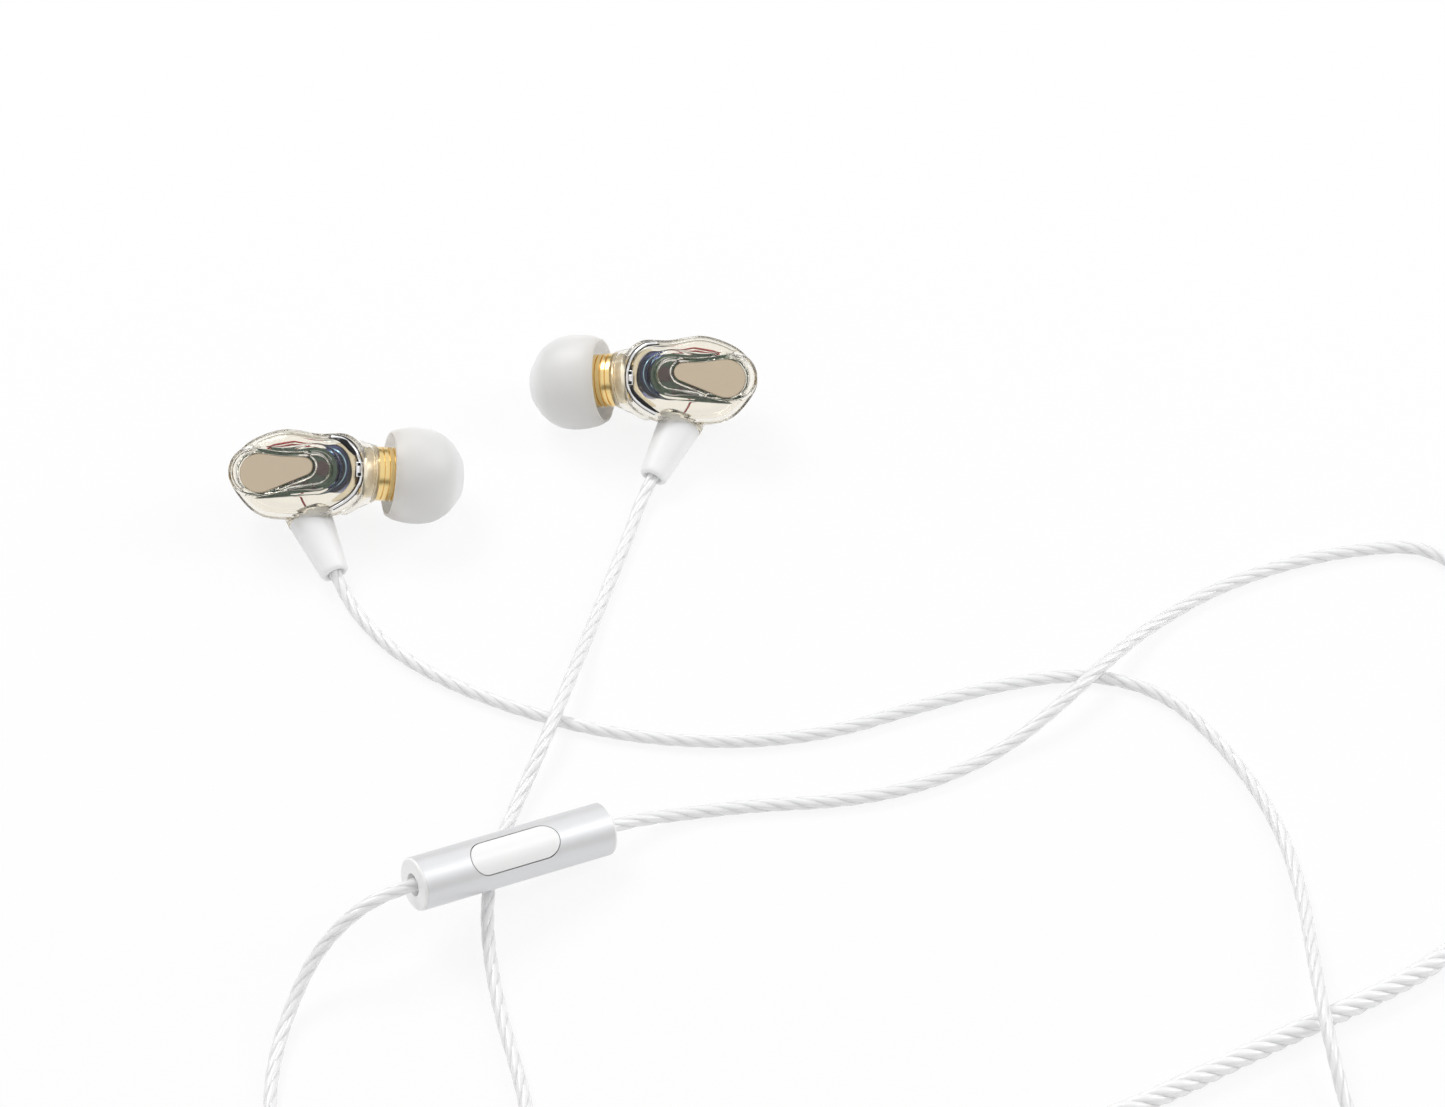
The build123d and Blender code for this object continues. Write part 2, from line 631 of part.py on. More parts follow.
right_route = [
    on_table("right", LEAD_SEAT), on_table("right", LEAD_SEAT + 4.2), (17.6, -9.8, FLOOR),
    (15.4, -17.2, FLOOR), (13.0, -25.4, FLOOR),
    (10.4, -36.0, 3.1), (7.6, -45.3, 3.1),               # over the left lead
    (4.3, -53.5, 1.0), (1.6, -63.0, 2.3), (0.8, -72.5, 2.3),  # under the remote
    (2.7, -84.5, FLOOR), (6.4, -97.0, FLOOR), (7.6, -107.0, FLOOR), (2.5, -115.5, FLOOR),
    (-7.0, -119.0, FLOOR), (-16.8, -116.0, FLOOR), (-22.3, -108.0, FLOOR),
    (-24.0, -98.8, FLOOR), (-23.7, -91.8, FLOOR), (-22.3, -85.4, 1.6), (-19.6, -80.0, 4.6),
    (-15.6, -76.8, 8.2), REMOTE_AT - remote_dir * (CAP_SEAT + 5.0),
    REMOTE_AT - remote_dir * CAP_SEAT,
]
remote_route = [
    REMOTE_AT + remote_dir * CAP_SEAT, REMOTE_AT + remote_dir * (CAP_SEAT + 5.0),
    (23.9, -55.8, 1.0), (33.5, -54.3, FLOOR), (45.5, -53.6, FLOOR), (56.0, -50.9, FLOOR),
    (65.5, -45.5, FLOOR),
    (72.6, -40.0, 3.1), (79.1, -32.7, 3.1),              # over the left lead
    (85.3, -25.2, FLOOR), (94.0, -19.0, FLOOR), (104.7, -14.4, FLOOR),
    (114.7, -12.2, FLOOR), (122.0, -12.0, FLOOR), (127.0, -16.5, FLOOR),
    (127.9, -23.0, FLOOR), (127.45, -28.5, 1.75), (127.45, -33.0, 1.75),
]
TRUNK_FLOOR = TRUNK_R + 0.05
trunk_route = [
    (128.5, -45.0, 1.75), (128.5, -50.5, 1.75), (128.0, -58.5, TRUNK_FLOOR),
    (125.5, -68.0, TRUNK_FLOOR), (118.5, -77.2, TRUNK_FLOOR), (108.0, -83.6, TRUNK_FLOOR),
    (95.0, -90.2, TRUNK_FLOOR), (83.5, -96.6, TRUNK_FLOOR), (73.0, -101.7, TRUNK_FLOOR),
    (63.5, -106.8, TRUNK_FLOOR),
]
tail_route = [
    (72.3, -142.7, 3.6), (78.5, -143.0, 3.6), (84.5, -142.5, 3.25), (90.0, -142.5, 3.25),
]

with BuildPart() as trunk_lead:
    add(cord_tube("trunk", trunk_route, TRUNK_R))
    add(cord_tube("tail", tail_route, TRUNK_R))

COIL_AT = (71.6, -124.6)
COIL_R, COIL_HIGH = 15.6, 4.9            # middle of the turns, and the pile's height
with BuildPart() as trunk_coil:
    with BuildSketch(Plane(origin=(*COIL_AT, 0), x_dir=(1, 0, 0), z_dir=(0, -1, 0))):
        with BuildLine():
            Polyline(
                (COIL_R - 5.2, 0.35), (COIL_R + 5.2, 0.35), (COIL_R + 5.2, 1.4),
                (COIL_R + 3.9, COIL_HIGH), (COIL_R - 3.9, COIL_HIGH), (COIL_R - 5.2, 1.4),
                close=True,
            )
        make_face()
    revolve(axis=Axis((*COIL_AT, 0), (0, 0, 1)))

with BuildPart() as coil_tie:            # a soft wire wound once round the turns
    with BuildSketch(Plane(origin=(COIL_AT[0] - COIL_R, COIL_AT[1], 0), x_dir=(1, 0, 0), z_dir=(0, -1, 0))):
        with Locations((0, 2.6)):
            Rectangle(11.4, 5.2)
            Rectangle(10.7, 4.7, mode=Mode.SUBTRACT)
    extrude(amount=1.2, both=True)

for name, piece in (
    ("left_lead", cord_tube("left lead", left_route, LEAD_R)),
    ("right_lead", cord_tube("right lead", right_route, LEAD_R)),
    ("remote_lead", cord_tube("remote lead", remote_route, LEAD_R)),
    ("trunk_lead", trunk_lead.part),
    ("trunk_coil", trunk_coil.part),
    ("coil_tie", coil_tie.part),
):
    hand_in(piece, name)
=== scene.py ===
"""Looks of a pair of wired in-ear monitors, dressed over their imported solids.

Everything is in metres in the solids' own frame; MM turns the part's sizes to metres.
"""

import json
from math import asin, cos, pi, radians, sin

import bmesh
import bpy
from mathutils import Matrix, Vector
from mathutils.bvhtree import BVHTree


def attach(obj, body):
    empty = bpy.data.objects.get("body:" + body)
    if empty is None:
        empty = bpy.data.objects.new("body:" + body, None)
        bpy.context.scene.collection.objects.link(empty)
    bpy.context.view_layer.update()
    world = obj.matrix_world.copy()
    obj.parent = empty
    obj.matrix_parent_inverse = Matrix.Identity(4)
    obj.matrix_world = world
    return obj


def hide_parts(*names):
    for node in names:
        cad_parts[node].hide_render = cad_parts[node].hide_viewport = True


MM = 0.001
RING = 96                                   # points round a turned or lofted piece
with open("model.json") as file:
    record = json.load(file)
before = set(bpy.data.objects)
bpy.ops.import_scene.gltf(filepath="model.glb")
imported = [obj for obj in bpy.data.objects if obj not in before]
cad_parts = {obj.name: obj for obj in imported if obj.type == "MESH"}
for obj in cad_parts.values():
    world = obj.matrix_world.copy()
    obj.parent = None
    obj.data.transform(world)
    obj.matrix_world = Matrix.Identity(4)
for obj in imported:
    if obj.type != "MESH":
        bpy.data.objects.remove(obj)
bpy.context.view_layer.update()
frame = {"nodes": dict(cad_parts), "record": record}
nodes = frame["nodes"]


# ---------------------------------------------------------------- camera and lamps
LENS, SENSOR = 110, 36                      # mm
CAMERA_AT = (0.02982, -0.38484, 0.44387)
CAMERA_TILT = radians(40)                   # up from looking straight down
BOUNCES, GLOSSY_BOUNCES = 24, 16            # clear plastic in clear plastic needs many
KEY_POWER, SIDE_POWER = 3.6, 1.7            # watts
LAMPS_AIM = (0, -0.02, 0)
SKY_STRENGTH = 0.62

scene = bpy.context.scene
camera = bpy.data.objects.new("camera", bpy.data.cameras.new("camera"))
scene.collection.objects.link(camera)
camera.data.lens = LENS
camera.data.sensor_width = SENSOR
camera.location = CAMERA_AT
camera.rotation_euler = (CAMERA_TILT, 0, 0)
bpy.context.scene.camera = camera
scene.view_settings.view_transform = "Standard"
scene.cycles.max_bounces = BOUNCES
scene.cycles.glossy_bounces = GLOSSY_BOUNCES
scene.cycles.transmission_bounces = BOUNCES


def new_material(name):
    """A material with its node tree and its main shader."""
    material = bpy.data.materials.new(name)
    material.use_nodes = True
    tree = material.node_tree
    return material, tree, tree.nodes["Principled BSDF"]


def lamp(name, place, size, power):
    """A soft rectangular lamp that faces the set."""
    data = bpy.data.lights.new(name, "AREA")
    data.shape = "RECTANGLE"
    data.size, data.size_y = size
    data.energy = power
    it = bpy.data.objects.new(name, data)
    scene.collection.objects.link(it)
    it.location = place
    way = Vector(LAMPS_AIM) - Vector(place)
    it.rotation_euler = way.to_track_quat("-Z", "Y").to_euler()


lamp("key", (-0.35, 0.45, 0.75), (0.5, 0.35), KEY_POWER)
lamp("side", (0.65, 0.1, 0.5), (0.25, 0.6), SIDE_POWER)

world = bpy.data.worlds.new("studio")
scene.world = world
world.use_nodes = True
background = world.node_tree.nodes["Background"]
background.inputs["Color"].default_value = (1, 1, 1, 1)
background.inputs["Strength"].default_value = SKY_STRENGTH

# ----------------------------------------------------------------------- the cords
STRANDS, STRAND_SIDES = 4, 10
STRAND_STEP = 0.5 * MM                      # between a strand's cross-sections
WINDING = {                                 # strand radius, its offset, one turn's length
    "lead": (0.56 * MM, 0.29 * MM, 11.6 * MM),
    "trunk": (0.66 * MM, 0.62 * MM, 9.0 * MM),
}
# Each cord's control points in mm, from its first fitting to its last. Where cords cross,
# one is lifted over the other.
ROUTES = {
    "left_lead": [
        (-20.79, -17.1, 2.23), (-19.04, -20.78, 1.20), (-16.4, -25.0, 0.95),
        (-12.2, -29.8, 0.95), (-5.8, -34.4, 0.95), (1.5, -38.1, 0.95), (10.7, -41.6, 0.95),
        (21.3, -43.9, 0.95), (33.3, -44.4, 0.95), (44.1, -42.7, 0.95), (54.3, -38.8, 0.95),
        (65.3, -35.0, 0.95), (76.2, -33.1, 0.95), (85.9, -36.0, 0.95), (93.1, -44.6, 0.95),
        (98.9, -56.1, 0.95), (101.2, -67.7, 0.95),
        (101.3, -82.0, 4.0), (102.2, -92.1, 4.0),
        (104.0, -101.5, 0.95), (109.5, -111.5, 0.95), (120.5, -118.0, 0.95),
        (132.5, -115.0, 0.95), (140.0, -105.5, 0.95), (143.0, -92.0, 0.95),
        (142.6, -75.0, 0.95), (143.8, -58.0, 0.95), (143.2, -43.5, 0.95),
        (143.9, -34.5, 0.95), (143.4, -27.5, 0.95), (139.4, -23.0, 0.95),
        (133.6, -22.6, 0.95), (129.55, -27.1, 1.75), (129.55, -33.0, 1.75),
    ],
    "right_lead": [
        (20.79, -0.53, 2.23), (19.04, -4.21, 1.20), (17.6, -9.8, 0.95),
        (15.4, -17.2, 0.95), (13.0, -25.4, 0.95), (10.4, -36.0, 3.1), (7.6, -45.3, 3.1),
        (4.3, -53.5, 1.0), (1.6, -63.0, 2.3), (0.8, -72.5, 2.3), (2.7, -84.5, 0.95),
        (6.4, -97.0, 0.95), (7.6, -107.0, 0.95), (2.5, -115.5, 0.95), (-7.0, -119.0, 0.95),
        (-16.8, -116.0, 0.95), (-22.3, -108.0, 0.95), (-24.0, -98.8, 0.95),
        (-23.7, -91.8, 0.95), (-22.3, -85.4, 1.6), (-19.6, -80.0, 4.6), (-15.6, -76.8, 8.2),
        (-10.85, -74.12, 9.90), (-6.59, -71.74, 8.82),
    ],
    "remote_lead": [
        (14.21, -60.12, 3.54), (18.47, -57.74, 2.46), (23.9, -55.8, 1.0), (33.5, -54.3, 0.95),
        (45.5, -53.6, 0.95), (56.0, -50.9, 0.95), (65.5, -45.5, 0.95), (72.6, -40.0, 3.1),
        (79.1, -32.7, 3.1), (85.3, -25.2, 0.95), (94.0, -19.0, 0.95), (104.7, -14.4, 0.95),
        (114.7, -12.2, 0.95), (122.0, -12.0, 0.95), (127.0, -16.5, 0.95), (127.9, -23.0, 0.95),
        (127.45, -28.5, 1.75), (127.45, -33.0, 1.75),
    ],
    "trunk": [
        (128.5, -45.0, 1.75), (128.5, -50.5, 1.75), (128.0, -58.5, 1.35), (125.5, -68.0, 1.35),
        (118.5, -77.2, 1.35), (108.0, -83.6, 1.35), (95.0, -90.2, 1.35), (83.5, -96.6, 1.35),
        (73.0, -101.7, 1.35),
    ],
}
COIL_AT = (71.6, -124.6)
COIL_TURNS = [                              # each turn's radius and height
    (19.5, 1.65), (16.9, 1.65), (14.3, 1.65), (11.7, 1.65), (13.0, 3.9), (15.6, 3.9),
    (18.2, 3.6),
]
COIL_START = 114.5                          # degrees
COIL_STEPS, COIL_END = 16, 6.42             # points to a turn, turns in all
STEP_FROM, STEP_PART = 0.72, 0.28           # where in a turn the step over starts, its length
TAIL = [(78.5, -143.0, 3.6), (84.5, -142.5, 3.25), (90.0, -142.5, 3.25)]


def coil_points():
    """The coil's turns, each a circle that steps over to the next in its last part."""
    points = []
    for step in range(int(COIL_END * COIL_STEPS) + 1):
        turn = step / COIL_STEPS
        at = int(turn)
        over = min(1, max(0, (turn - at - STEP_FROM) / STEP_PART))
        over *= over * (3 - 2 * over)
        here, there = COIL_TURNS[at], COIL_TURNS[min(at + 1, len(COIL_TURNS) - 1)]
        r, z = (a + (b - a) * over for a, b in zip(here, there))
        angle = radians(COIL_START) + 2 * pi * turn
        points.append((COIL_AT[0] + r * cos(angle), COIL_AT[1] + r * sin(angle), z))
    return points


ROUTES["trunk"] += coil_points() + TAIL


def smooth_line(corners, gap):
    """Evenly spaced points of the NURBS spline that has these control points."""
    data = bpy.data.curves.new("route", "CURVE")
    data.dimensions = "3D"
    spline = data.splines.new("NURBS")
    spline.points.add(len(corners) - 1)
    for point, corner in zip(spline.points, corners):
        point.co = (corner[0] * MM, corner[1] * MM, corner[2] * MM, 1)
    spline.order_u = 3
    spline.use_endpoint_u = True
    spline.resolution_u = 24
    route = bpy.data.objects.new("route", data)
    scene.collection.objects.link(route)
    bpy.context.view_layer.update()
    mesh = bpy.data.meshes.new_from_object(route)
    fine = [v.co.copy() for v in mesh.vertices]
    bpy.data.meshes.remove(mesh)
    bpy.data.objects.remove(route)
    bpy.data.curves.remove(data)
    runs = [(b - a).length for a, b in zip(fine, fine[1:])]
    whole = sum(runs)
    count = max(8, round(whole / gap))
    line, done, k = [fine[0]], 0.0, 0
    for step in range(1, count):
        want = whole * step / count
        while done + runs[k] < want:
            done += runs[k]
            k += 1
        line.append(fine[k].lerp(fine[k + 1], (want - done) / runs[k]))
    return line + [fine[-1]], whole


def travelling_frames(line):
    """Two directions square to the line at each point, with no twist of their own."""
    way = (line[1] - line[0]).normalized()
    side = way.cross(Vector((0, 0, 1)))
    side = (side if side.length > 0.1 else way.cross(Vector((1, 0, 0)))).normalized()
    frames = []
    for k in range(len(line)):
        new = (line[min(k + 1, len(line) - 1)] - line[max(k - 1, 0)]).normalized()
        side = way.rotation_difference(new) @ side
        side = (side - new * side.dot(new)).normalized()
        way = new
        frames.append((side, way.cross(side)))
    return frames


def link_mesh(name, verts, faces):
    """A smooth-shaded mesh object in the scene."""
    mesh = bpy.data.meshes.new(name)
    mesh.from_pydata(verts, [], faces)
    mesh.shade_smooth()
    it = bpy.data.objects.new(name, mesh)
    scene.collection.objects.link(it)
    return it


def twisted_cord(name, corners, strand_r, wind_r, pitch):
    """A cord of strands wound round the smooth line of its route, that line, its length."""
    line, whole = smooth_line(corners, STRAND_STEP)
    frames = travelling_frames(line)
    step = whole / (len(line) - 1)
    verts, faces = [], []
    sides = STRAND_SIDES
    for strand in range(STRANDS):
        base = len(verts)
        centres = []
        for k, (at, (side, up)) in enumerate(zip(line, frames)):
            angle = 2 * pi * (strand / STRANDS + k * step / pitch)
            centres.append(at + (side * cos(angle) + up * sin(angle)) * wind_r)
        for k, (one, two) in enumerate(travelling_frames(centres)):
            for n in range(sides):
                a = 2 * pi * n / sides
                verts.append(centres[k] + (one * cos(a) + two * sin(a)) * strand_r)
        for k in range(len(line) - 1):
            for n in range(sides):
                m = (n + 1) % sides
                row = base + k * sides
                faces.append((row + n, row + m, row + sides + m, row + sides + n))
        faces.append([base + n for n in reversed(range(sides))])
        faces.append([base + (len(line) - 1) * sides + n for n in range(sides)])
    return link_mesh(name, verts, faces), line, whole


cords = {}
for name, route in ROUTES.items():
    winding = WINDING["trunk" if name == "trunk" else "lead"]
    cords[name] = twisted_cord(name + "_cord", route, *winding)
for name, (piece, line, whole) in cords.items():
    print(name, "length", round(whole, 4))
    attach(piece, "set")
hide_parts("left_lead")
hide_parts("right_lead")
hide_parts("remote_lead")
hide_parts("trunk_lead", "trunk_coil")


# ------------------------------------------------------------- the floor and the sky
FAR = 3                                     # half the floor's side, in metres
FLOOR_GREY = 0.9
FLOOR_WHITENESS = 0.86                      # how much of plain white covers its shading

floor = link_mesh(
    "floor", [(-FAR, -FAR, 0), (FAR, -FAR, 0), (FAR, FAR, 0), (-FAR, FAR, 0)], [(0, 1, 2, 3)]
)


def white_stage():
    """Plain white: the lit floor keeps its shadows, and what sees it far off sees white."""
    material, tree, shader = new_material("white stage")
    shader.inputs["Base Color"].default_value = (FLOOR_GREY, FLOOR_GREY, FLOOR_GREY, 1)
    shader.inputs["Roughness"].default_value = 0.8
    shader.inputs["Specular IOR Level"].default_value = 0.1
    glow = tree.nodes.new("ShaderNodeEmission")
    glow.inputs["Color"].default_value = (1, 1, 1, 1)
    glow.inputs["Strength"].default_value = 1.0
    rays = tree.nodes.new("ShaderNodeLightPath")
    share = tree.nodes.new("ShaderNodeMath")
    share.operation = "MULTIPLY"
    share.inputs[1].default_value = FLOOR_WHITENESS
    seen = tree.nodes.new("ShaderNodeMath")
    seen.operation = "MAXIMUM"
    any_ray = tree.nodes.new("ShaderNodeMath")
    any_ray.operation = "MAXIMUM"
    link = tree.links.new
    link(rays.outputs["Is Camera Ray"], seen.inputs[0])
    link(rays.outputs["Is Glossy Ray"], seen.inputs[1])
    link(seen.outputs[0], any_ray.inputs[0])
    link(rays.outputs["Is Transmission Ray"], any_ray.inputs[1])
    link(any_ray.outputs[0], share.inputs[0])
    mix = tree.nodes.new("ShaderNodeMixShader")
    link(share.outputs[0], mix.inputs[0])
    link(shader.outputs[0], mix.inputs[1])
    link(glow.outputs[0], mix.inputs[2])
    link(mix.outputs[0], tree.nodes["Material Output"].inputs["Surface"])
    return material


floor.data.materials.append(white_stage())


def white_world():
    """Soft light all round. What metal mirrors and clear plastic bends has a darker band
    in it, a little above the horizon, as a studio with black cards has."""
    tree = world.node_tree
    link = tree.links.new
    way = tree.nodes.new("ShaderNodeTexCoord")
    split = tree.nodes.new("ShaderNodeSeparateXYZ")
    link(way.outputs["Generated"], split.inputs[0])

    def banded(stops):
        """Colours by how high a ray points, from straight down at 0 to straight up at 1."""
        height = tree.nodes.new("ShaderNodeMapRange")
        height.inputs["From Min"].default_value = -1
        link(split.outputs["Z"], height.inputs["Value"])
        ramp = tree.nodes.new("ShaderNodeValToRGB")
        link(height.outputs[0], ramp.inputs["Fac"])
        marks = ramp.color_ramp.elements
        while len(marks) < len(stops):
            marks.new(0.5)
        for mark, (at, colour) in zip(marks, stops):
            mark.position = at
            mark.color = (*colour, 1)
        sky = tree.nodes.new("ShaderNodeBackground")
        sky.inputs["Strength"].default_value = 1.0
        link(ramp.outputs["Color"], sky.inputs["Color"])
        return sky

    white = tree.nodes.new("ShaderNodeBackground")
    white.inputs["Color"].default_value = (1, 1, 1, 1)
    white.inputs["Strength"].default_value = 1.0
    mirrored = banded([
        (0.0, (0.85, 0.84, 0.82)), (0.47, (0.8, 0.78, 0.75)), (0.54, (0.26, 0.25, 0.22)),
        (0.64, (0.34, 0.33, 0.30)), (0.72, (0.94, 0.94, 0.94)), (1.0, (1, 1, 1)),
    ])
    through = banded([
        (0.0, (0.95, 0.945, 0.93)), (0.42, (0.88, 0.86, 0.80)), (0.50, (0.44, 0.41, 0.35)),
        (0.64, (0.54, 0.51, 0.44)), (0.74, (0.96, 0.955, 0.945)), (1.0, (1, 1, 1)),
    ])
    rays = tree.nodes.new("ShaderNodeLightPath")
    last = background
    for seen, sky in (
        ("Is Glossy Ray", mirrored),
        ("Is Transmission Ray", through),
        ("Is Camera Ray", white),
    ):
        mix = tree.nodes.new("ShaderNodeMixShader")
        link(rays.outputs[seen], mix.inputs[0])
        link(last.outputs[0], mix.inputs[1])
        link(sky.outputs[0], mix.inputs[2])
        last = mix
    link(last.outputs[0], tree.nodes["World Output"].inputs["Surface"])


white_world()


# ------------------------------------------------------- the earphones' own frame
# u runs towards the nozzle, v up the faceplate and w out through it, all in mm.
LEAN = radians(40)
EARS = {                                    # each earphone's middle, and which way u runs
    "left": (Vector((-25.36, -6.39, 8.77)), 1),
    "right": (Vector((25.36, 10.18, 8.77)), -1),
}


def on_ear(side, point):
    """A place in an earphone's own frame (mm) as one in the set's frame (metres)."""
    middle, hand = EARS[side]
    u, v, w = point
    return Vector((
        middle.x + hand * u,
        middle.y + v * cos(LEAN) - w * sin(LEAN),
        middle.z + v * sin(LEAN) + w * cos(LEAN),
    )) * MM


def ear_mesh(name, side, verts, faces, body="set"):
    """A mesh drawn in an earphone's own frame, turned over for the right one."""
    if side == "right":
        faces = [tuple(reversed(f)) for f in faces]
    piece = link_mesh(name, [on_ear(side, v) for v in verts], faces)
    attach(piece, body)
    return piece


NECK_TURN, NECK_DROP = radians(3), radians(15)
RELIEF_TURN, RELIEF_RISE = radians(26.6), radians(22)
DRIVER_TILT = radians(30)
NECK_DIR = Vector((
    cos(NECK_TURN) * cos(NECK_DROP), -sin(NECK_TURN) * cos(NECK_DROP), -sin(NECK_DROP)
))
RELIEF_DIR = Vector((
    sin(RELIEF_TURN) * cos(RELIEF_RISE), -cos(RELIEF_TURN) * cos(RELIEF_RISE),
    sin(RELIEF_RISE),
))
NECK_BASE, RELIEF_TOP = Vector((9.7, 0.26, -1.65)), Vector((1.17, -5.61, -1.2))
DRIVER_AT, DRIVER_UP = Vector((4.1, 0.95, -1.3)), Vector((-0.5, 0, cos(DRIVER_TILT)))
# The faceplate and the raised rim round it, each a teardrop: the middle and radius of its
# big end, then of its small end.
PLATE = ((-4.97, 0.2), 2.55, (0.8, 1.08), 1.19)
RIM_TOP = ((-5.63, 0.38), 3.05, (2.3, 0.75), 2.3)
RIM_FOOT = ((-5.63, 0.38), 3.45, (2.3, 0.75), 3.3)
BODY_OUTLINE = [                            # (u, v), clockwise
    (-9.1, 0.2), (-7.0, 3.95), (-2.2, 5.95), (2.6, 5.4), (6.2, 5.35), (8.4, 3.5),
    (8.8, 0.0), (7.9, -3.3), (4.4, -5.4), (-0.8, -5.85), (-5.0, -5.35), (-7.8, -2.9),
]


def across(way):
    """Two directions square to a way."""
    one = Vector((0, 0, 1)).cross(way).normalized()
    return one, way.cross(one)


def circle(middle, way, r, r_two=None):
    """A ring round an axis, or an oval one with a second radius."""
    one, two = across(way)
    turns = [2 * pi * k / RING for k in range(RING)]
    return [
        middle + one * (r * cos(turn)) + two * ((r_two or r) * sin(turn)) for turn in turns
    ]


def between(a, b, c, d, steps):
    """Points from b up to c, on a smooth curve that comes from a and goes on to d."""
    return [
        0.5 * (
            2 * b + (c - a) * t + (2 * a - 5 * b + 4 * c - d) * t * t
            + (3 * b - a - 3 * c + d) * t ** 3
        )
        for t in (step / steps for step in range(steps))
    ]


def round_curve(points):
    """Evenly spaced points of a smooth closed curve through the given ones."""
    count = len(points)
    fine = []
    for k in range(count):
        fine += between(*(Vector(points[(k + j - 1) % count]) for j in range(4)), 40)
    return evenly(fine)


def evenly(loop):
    """The closed loop, cut into RING equal lengths."""
    lengths = [(loop[(k + 1) % len(loop)] - loop[k]).length for k in range(len(loop))]
    whole, out, k, done = sum(lengths), [], 0, 0.0
    for step in range(RING):
        want = whole * step / RING
        while done + lengths[k] < want:
            done += lengths[k]
            k += 1
        out.append(loop[k].lerp(loop[(k + 1) % len(loop)], (want - done) / lengths[k]))
    return out


def inset(loop, by):
    """The loop moved in by a length, square to itself."""
    out = []
    for k, at in enumerate(loop):
        along = (loop[(k + 1) % len(loop)] - loop[k - 1]).normalized()
        out.append(at + Vector((along.y, -along.x)) * by)
    return out


def teardrop(big, big_r, small, small_r, sag):
    """A closed loop round two circles, clockwise and waisted above by sag."""
    big, small = Vector(big), Vector(small)
    slope = (small - big).angle_signed(Vector((1, 0)))
    spread = asin((big_r - small_r) / (small - big).length)
    up, down = slope + pi / 2 - spread, slope - pi / 2 + spread
    loop = []
    arc, edge = 60, 40                      # steps round an end and along the waist
    for k in range(arc + 1):
        turn = down - (down + 2 * pi - up) * k / arc
        loop.append(big + Vector((cos(turn), sin(turn))) * big_r)
    square = Vector((cos(up), sin(up)))
    first, last = loop[-1], small + square * small_r
    for k in range(1, edge):
        dip = sag * sin(pi * k / edge) ** 2
        loop.append(first.lerp(last, k / edge) - square * dip)
    for k in range(arc + 1):
        turn = up - (up - down) * k / arc
        loop.append(small + Vector((cos(turn), sin(turn))) * small_r)
    return evenly(loop)


def lofted(rings):
    """Faces of a closed skin over rings that have the same number of points."""
    n = len(rings[0])
    verts = [tuple(v) for ring in rings for v in ring]
    faces = []
    for k in range(len(rings) - 1):
        for m in range(n):
            o = (m + 1) % n
            faces.append((k * n + m, k * n + o, (k + 1) * n + o, (k + 1) * n + m))
    faces.append(tuple(reversed(range(n))))
    faces.append(tuple((len(rings) - 1) * n + m for m in range(n)))
    return verts, faces


def joined(solids):
    """Several meshes' points and faces as one mesh's."""
    verts, faces = [], []
    for some_verts, some_faces in solids:
        base = len(verts)
        verts += some_verts
        faces += [tuple(base + i for i in f) for f in some_faces]
    return verts, faces


def reshaped(name, verts, faces, voxel, rounds, push=0.0):
    """The union of closed skins as one even mesh, smoothed and then pushed out (mm)."""
    mesh = bpy.data.meshes.new(name)
    mesh.from_pydata(verts, [], faces)
    shape = bmesh.new()
    shape.from_mesh(mesh)
    bmesh.ops.recalc_face_normals(shape, faces=shape.faces)
    shape.to_mesh(mesh)
    shape.free()
    it = bpy.data.objects.new(name, mesh)
    scene.collection.objects.link(it)

    def even_and_smooth():
        cells = it.modifiers.new("cells", "REMESH")
        cells.mode, cells.voxel_size = "VOXEL", voxel
        soft = it.modifiers.new("soft", "SMOOTH")
        soft.factor, soft.iterations = 0.5, rounds

    even_and_smooth()
    if push:
        shift = it.modifiers.new("shift", "DISPLACE")
        shift.strength, shift.mid_level = push, 0
        even_and_smooth()
    bpy.context.view_layer.update()
    made = bpy.data.meshes.new_from_object(
        it.evaluated_get(bpy.context.evaluated_depsgraph_get())
    )
    bpy.data.objects.remove(it)
    bpy.data.meshes.remove(mesh)
    out = [v.co.copy() for v in made.vertices], [tuple(f.vertices) for f in made.polygons]
    bpy.data.meshes.remove(made)
    return out


def flat(loop, w):
    """A flat loop as a ring at a height."""
    return [(p.x, p.y, w) for p in loop]


UNDER_W, UNDER_ROUND = -3.1, 2.2            # where the body's underside turns in, and how far
LEDGES = (                                  # how far the body's top steps in, and at what w
    (0.0, 1.2), (0.08, 1.42), (0.32, 1.5), (0.36, 1.9), (0.5, 2.08), (0.85, 2.2),
    (0.95, 2.45), (1.15, 2.55),
)
CONE = (                                    # middle and the two radii of its rings
    ((3.6, 0, -1.7), 4.5, 3.0), ((5.4, 0, -1.8), 5.2, 3.45), ((6.0, 0.02, -1.8), 5.15, 3.5),
)


